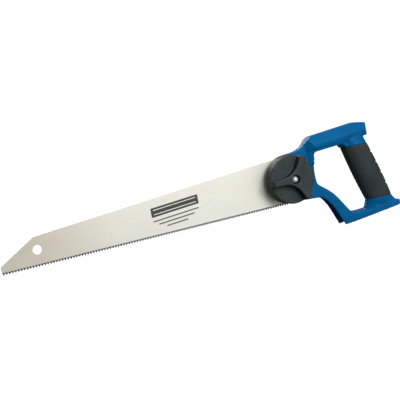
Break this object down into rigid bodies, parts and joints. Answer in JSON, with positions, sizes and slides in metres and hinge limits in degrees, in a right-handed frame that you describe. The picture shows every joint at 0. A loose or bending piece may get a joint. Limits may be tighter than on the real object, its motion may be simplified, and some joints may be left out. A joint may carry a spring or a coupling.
{
  "type": "hand saw",
  "caption": "Carpenter's hand saw: a tapered toothed steel blade clamped in a slotted plastic handle by a large three-armed knob, with a closed rubber-sleeved grip.",
  "frame": {"origin": "centre of the hang hole near the toe, in the blade's mid-plane", "axes": "+X along the tooth line from the toe towards the handle, +Y from the knob's side of the blade to its other side, +Z from the teeth towards the blade's back"},
  "size_m": [0.4925, 0.0451, 0.1195],
  "materials": {
    "blade_steel": "ground lengthwise, satin, with hardened darker tooth tips",
    "blue_plastic": "moulded, fine satin texture",
    "black_rubber": "matte overmoulding",
    "knob_plastic": "moulded, fine texture",
    "chrome": "polished",
    "zinc_steel": "zinc plated",
    "brass": "machined"
  },
  "bodies": {
    "handle": {"handle_frame": "blue_plastic", "grip_sleeve": "black_rubber", "clamp_bolt": "zinc_steel", "dome_nut": "chrome", "locating_pin": "zinc_steel"},
    "washer": {"thrust_washer": "zinc_steel"},
    "knob": {"clamp_knob": "knob_plastic", "knob_insert": "brass"},
    "blade": {"blade": "blade_steel"}
  },
  "joints": [
    {"name": "knob_travel", "type": "slide", "parent": "handle", "child": "washer", "axis": [0, -1, 0], "range_m": [0, 0.0021]},
    {"name": "knob_turn", "type": "hinge", "parent": "washer", "child": "knob", "pos_m": [0.3025, -0.006, 0.0123], "axis": [0, -1, 0], "range_deg": [0, 900]},
    {"name": "blade_slide", "type": "slide", "parent": "handle", "child": "blade", "axis": [-0.9968, 0, -0.0802], "range_m": [0, 0.06]}
  ],
  "couplings": [
    {"joint": "knob_travel", "follows": "knob_turn", "m_per_rad": 0.00012732}
  ]
}
